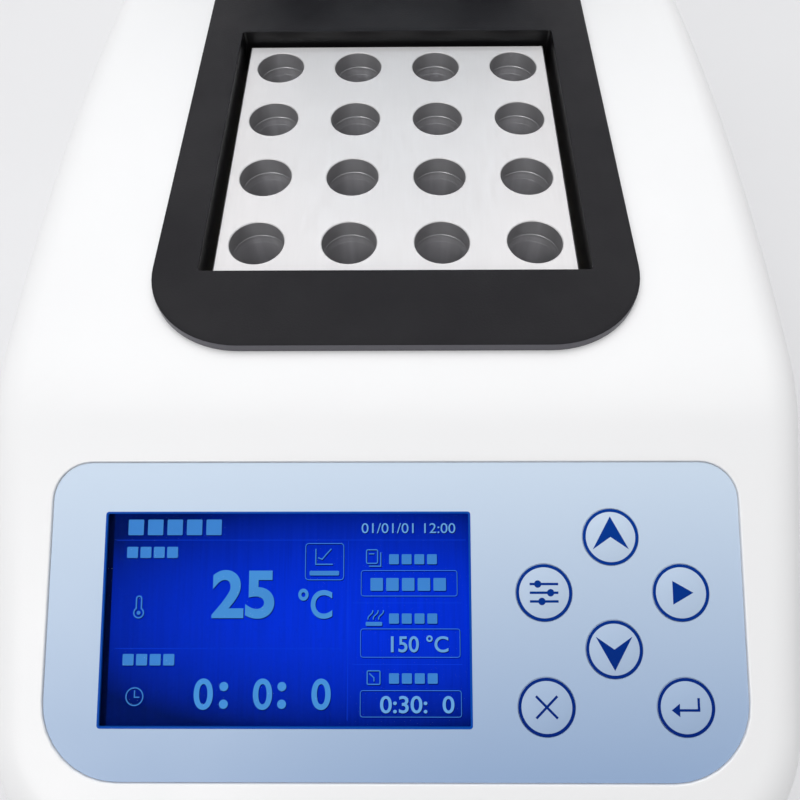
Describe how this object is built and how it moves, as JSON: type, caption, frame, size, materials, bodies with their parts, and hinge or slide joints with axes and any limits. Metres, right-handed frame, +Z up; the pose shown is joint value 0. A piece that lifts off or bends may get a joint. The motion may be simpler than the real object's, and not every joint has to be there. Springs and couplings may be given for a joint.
{
  "type": "block digester",
  "caption": "Bench block digester: wedge-shaped housing with a heated aluminium block of vial wells, a black frame, a sloping control panel with display and keys, and a hinged clear lid.",
  "frame": {"origin": "on the bench, under the middle of the whole width and depth, with the lid open", "axes": "+X to the right as the user sees it, +Y to the rear, +Z up"},
  "size_m": [0.236, 0.3581, 0.337],
  "materials": {
    "housing_white": "satin moulded",
    "base_grey": "satin moulded",
    "foot_rubber": "matte",
    "screw_steel": "zinc plated",
    "frame_black": "fine grain",
    "block_aluminium": "milled satin",
    "heater_aluminium": "cast",
    "heater_steel": "satin",
    "insulation_fibre": "ceramic fibre felt",
    "bracket_steel": "satin",
    "post_brass": "turned",
    "cutout_ceramic": "matte",
    "overlay_blue": "satin film",
    "lens_clear": "clear",
    "lcd_blue": "backlit display",
    "board_green": "solder mask",
    "spacer_nylon": "satin",
    "panel_steel": "brushed",
    "fan_black": "moulded",
    "inlet_black": "moulded",
    "pin_brass": "plated",
    "fuse_glass": "clear",
    "rocker_black": "gloss",
    "hinge_black": "moulded",
    "lid_clear": "clear polycarbonate",
    "key_blue": "satin film"
  },
  "bodies": {
    "base": {"upper_housing": "housing_white", "base_tray": "base_grey", "rubber_feet": "foot_rubber", "housing_screws": "screw_steel", "block_frame": "frame_black", "frame_screws": "screw_steel", "heating_block": "block_aluminium", "heater_plate": "heater_aluminium", "cartridge_heaters": "heater_steel", "block_screws": "screw_steel", "insulation_jacket": "insulation_fibre", "support_plate": "bracket_steel", "support_posts": "post_brass", "temperature_probe": "heater_steel", "thermal_cutout": "cutout_ceramic", "control_overlay": "overlay_blue", "display_lens": "lens_clear", "lcd_module": "lcd_blue", "key_board": "board_green", "power_board": "board_green", "board_spacers": "spacer_nylon", "rear_panel": "panel_steel", "rear_panel_screws": "screw_steel", "fan_frame": "fan_black", "fan_screws": "screw_steel", "mains_inlet": "inlet_black", "inlet_pins": "pin_brass", "switch_body": "inlet_black", "hinge_brackets": "hinge_black", "hinge_screws": "screw_steel", "hinge_pins": "screw_steel"},
    "lid": {"lid_cover": "lid_clear", "lid_leaves": "hinge_black", "leaf_screws": "screw_steel", "lid_handle": "hinge_black"},
    "key_up": {"key_up": "key_blue"},
    "key_down": {"key_down": "key_blue"},
    "key_set": {"key_set": "key_blue"},
    "key_start": {"key_start": "key_blue"},
    "key_esc": {"key_esc": "key_blue"},
    "key_enter": {"key_enter": "key_blue"},
    "rocker": {"switch_rocker": "rocker_black"},
    "fan": {"fan_impeller": "fan_black"},
    "drawer": {"fuse_drawer": "inlet_black", "fuse": "fuse_glass"}
  },
  "joints": [
    {"name": "lid_hinge", "type": "hinge", "parent": "base", "child": "lid", "pos_m": [0, 0.13192, 0.146], "axis": [1, 0, 0], "range_deg": [0, 90]},
    {"name": "key_up_press", "type": "slide", "parent": "base", "child": "key_up", "axis": [0, 0.3923, -0.9198], "range_m": [0, 0.0004], "stiffness_N_per_m": 500, "springref_m": -0.0006},
    {"name": "key_down_press", "type": "slide", "parent": "base", "child": "key_down", "axis": [0, 0.3923, -0.9198], "range_m": [0, 0.0004], "stiffness_N_per_m": 500, "springref_m": -0.0006},
    {"name": "key_set_press", "type": "slide", "parent": "base", "child": "key_set", "axis": [0, 0.3923, -0.9198], "range_m": [0, 0.0004], "stiffness_N_per_m": 500, "springref_m": -0.0006},
    {"name": "key_start_press", "type": "slide", "parent": "base", "child": "key_start", "axis": [0, 0.3923, -0.9198], "range_m": [0, 0.0004], "stiffness_N_per_m": 500, "springref_m": -0.0006},
    {"name": "key_esc_press", "type": "slide", "parent": "base", "child": "key_esc", "axis": [0, 0.3923, -0.9198], "range_m": [0, 0.0004], "stiffness_N_per_m": 500, "springref_m": -0.0006},
    {"name": "key_enter_press", "type": "slide", "parent": "base", "child": "key_enter", "axis": [0, 0.3923, -0.9198], "range_m": [0, 0.0004], "stiffness_N_per_m": 500, "springref_m": -0.0006},
    {"name": "power_rocker", "type": "hinge", "parent": "base", "child": "rocker", "pos_m": [0.016, 0.16392, 0.071], "axis": [1, 0, 0], "range_deg": [-18, 0]},
    {"name": "fan_spin", "type": "hinge", "parent": "base", "child": "fan", "pos_m": [-0.04, 0.15693, 0.071], "axis": [0, 1, 0], "continuous": true},
    {"name": "fuse_drawer_slide", "type": "slide", "parent": "base", "child": "drawer", "axis": [0, 1, 0], "range_m": [0, 0.016]}
  ]
}
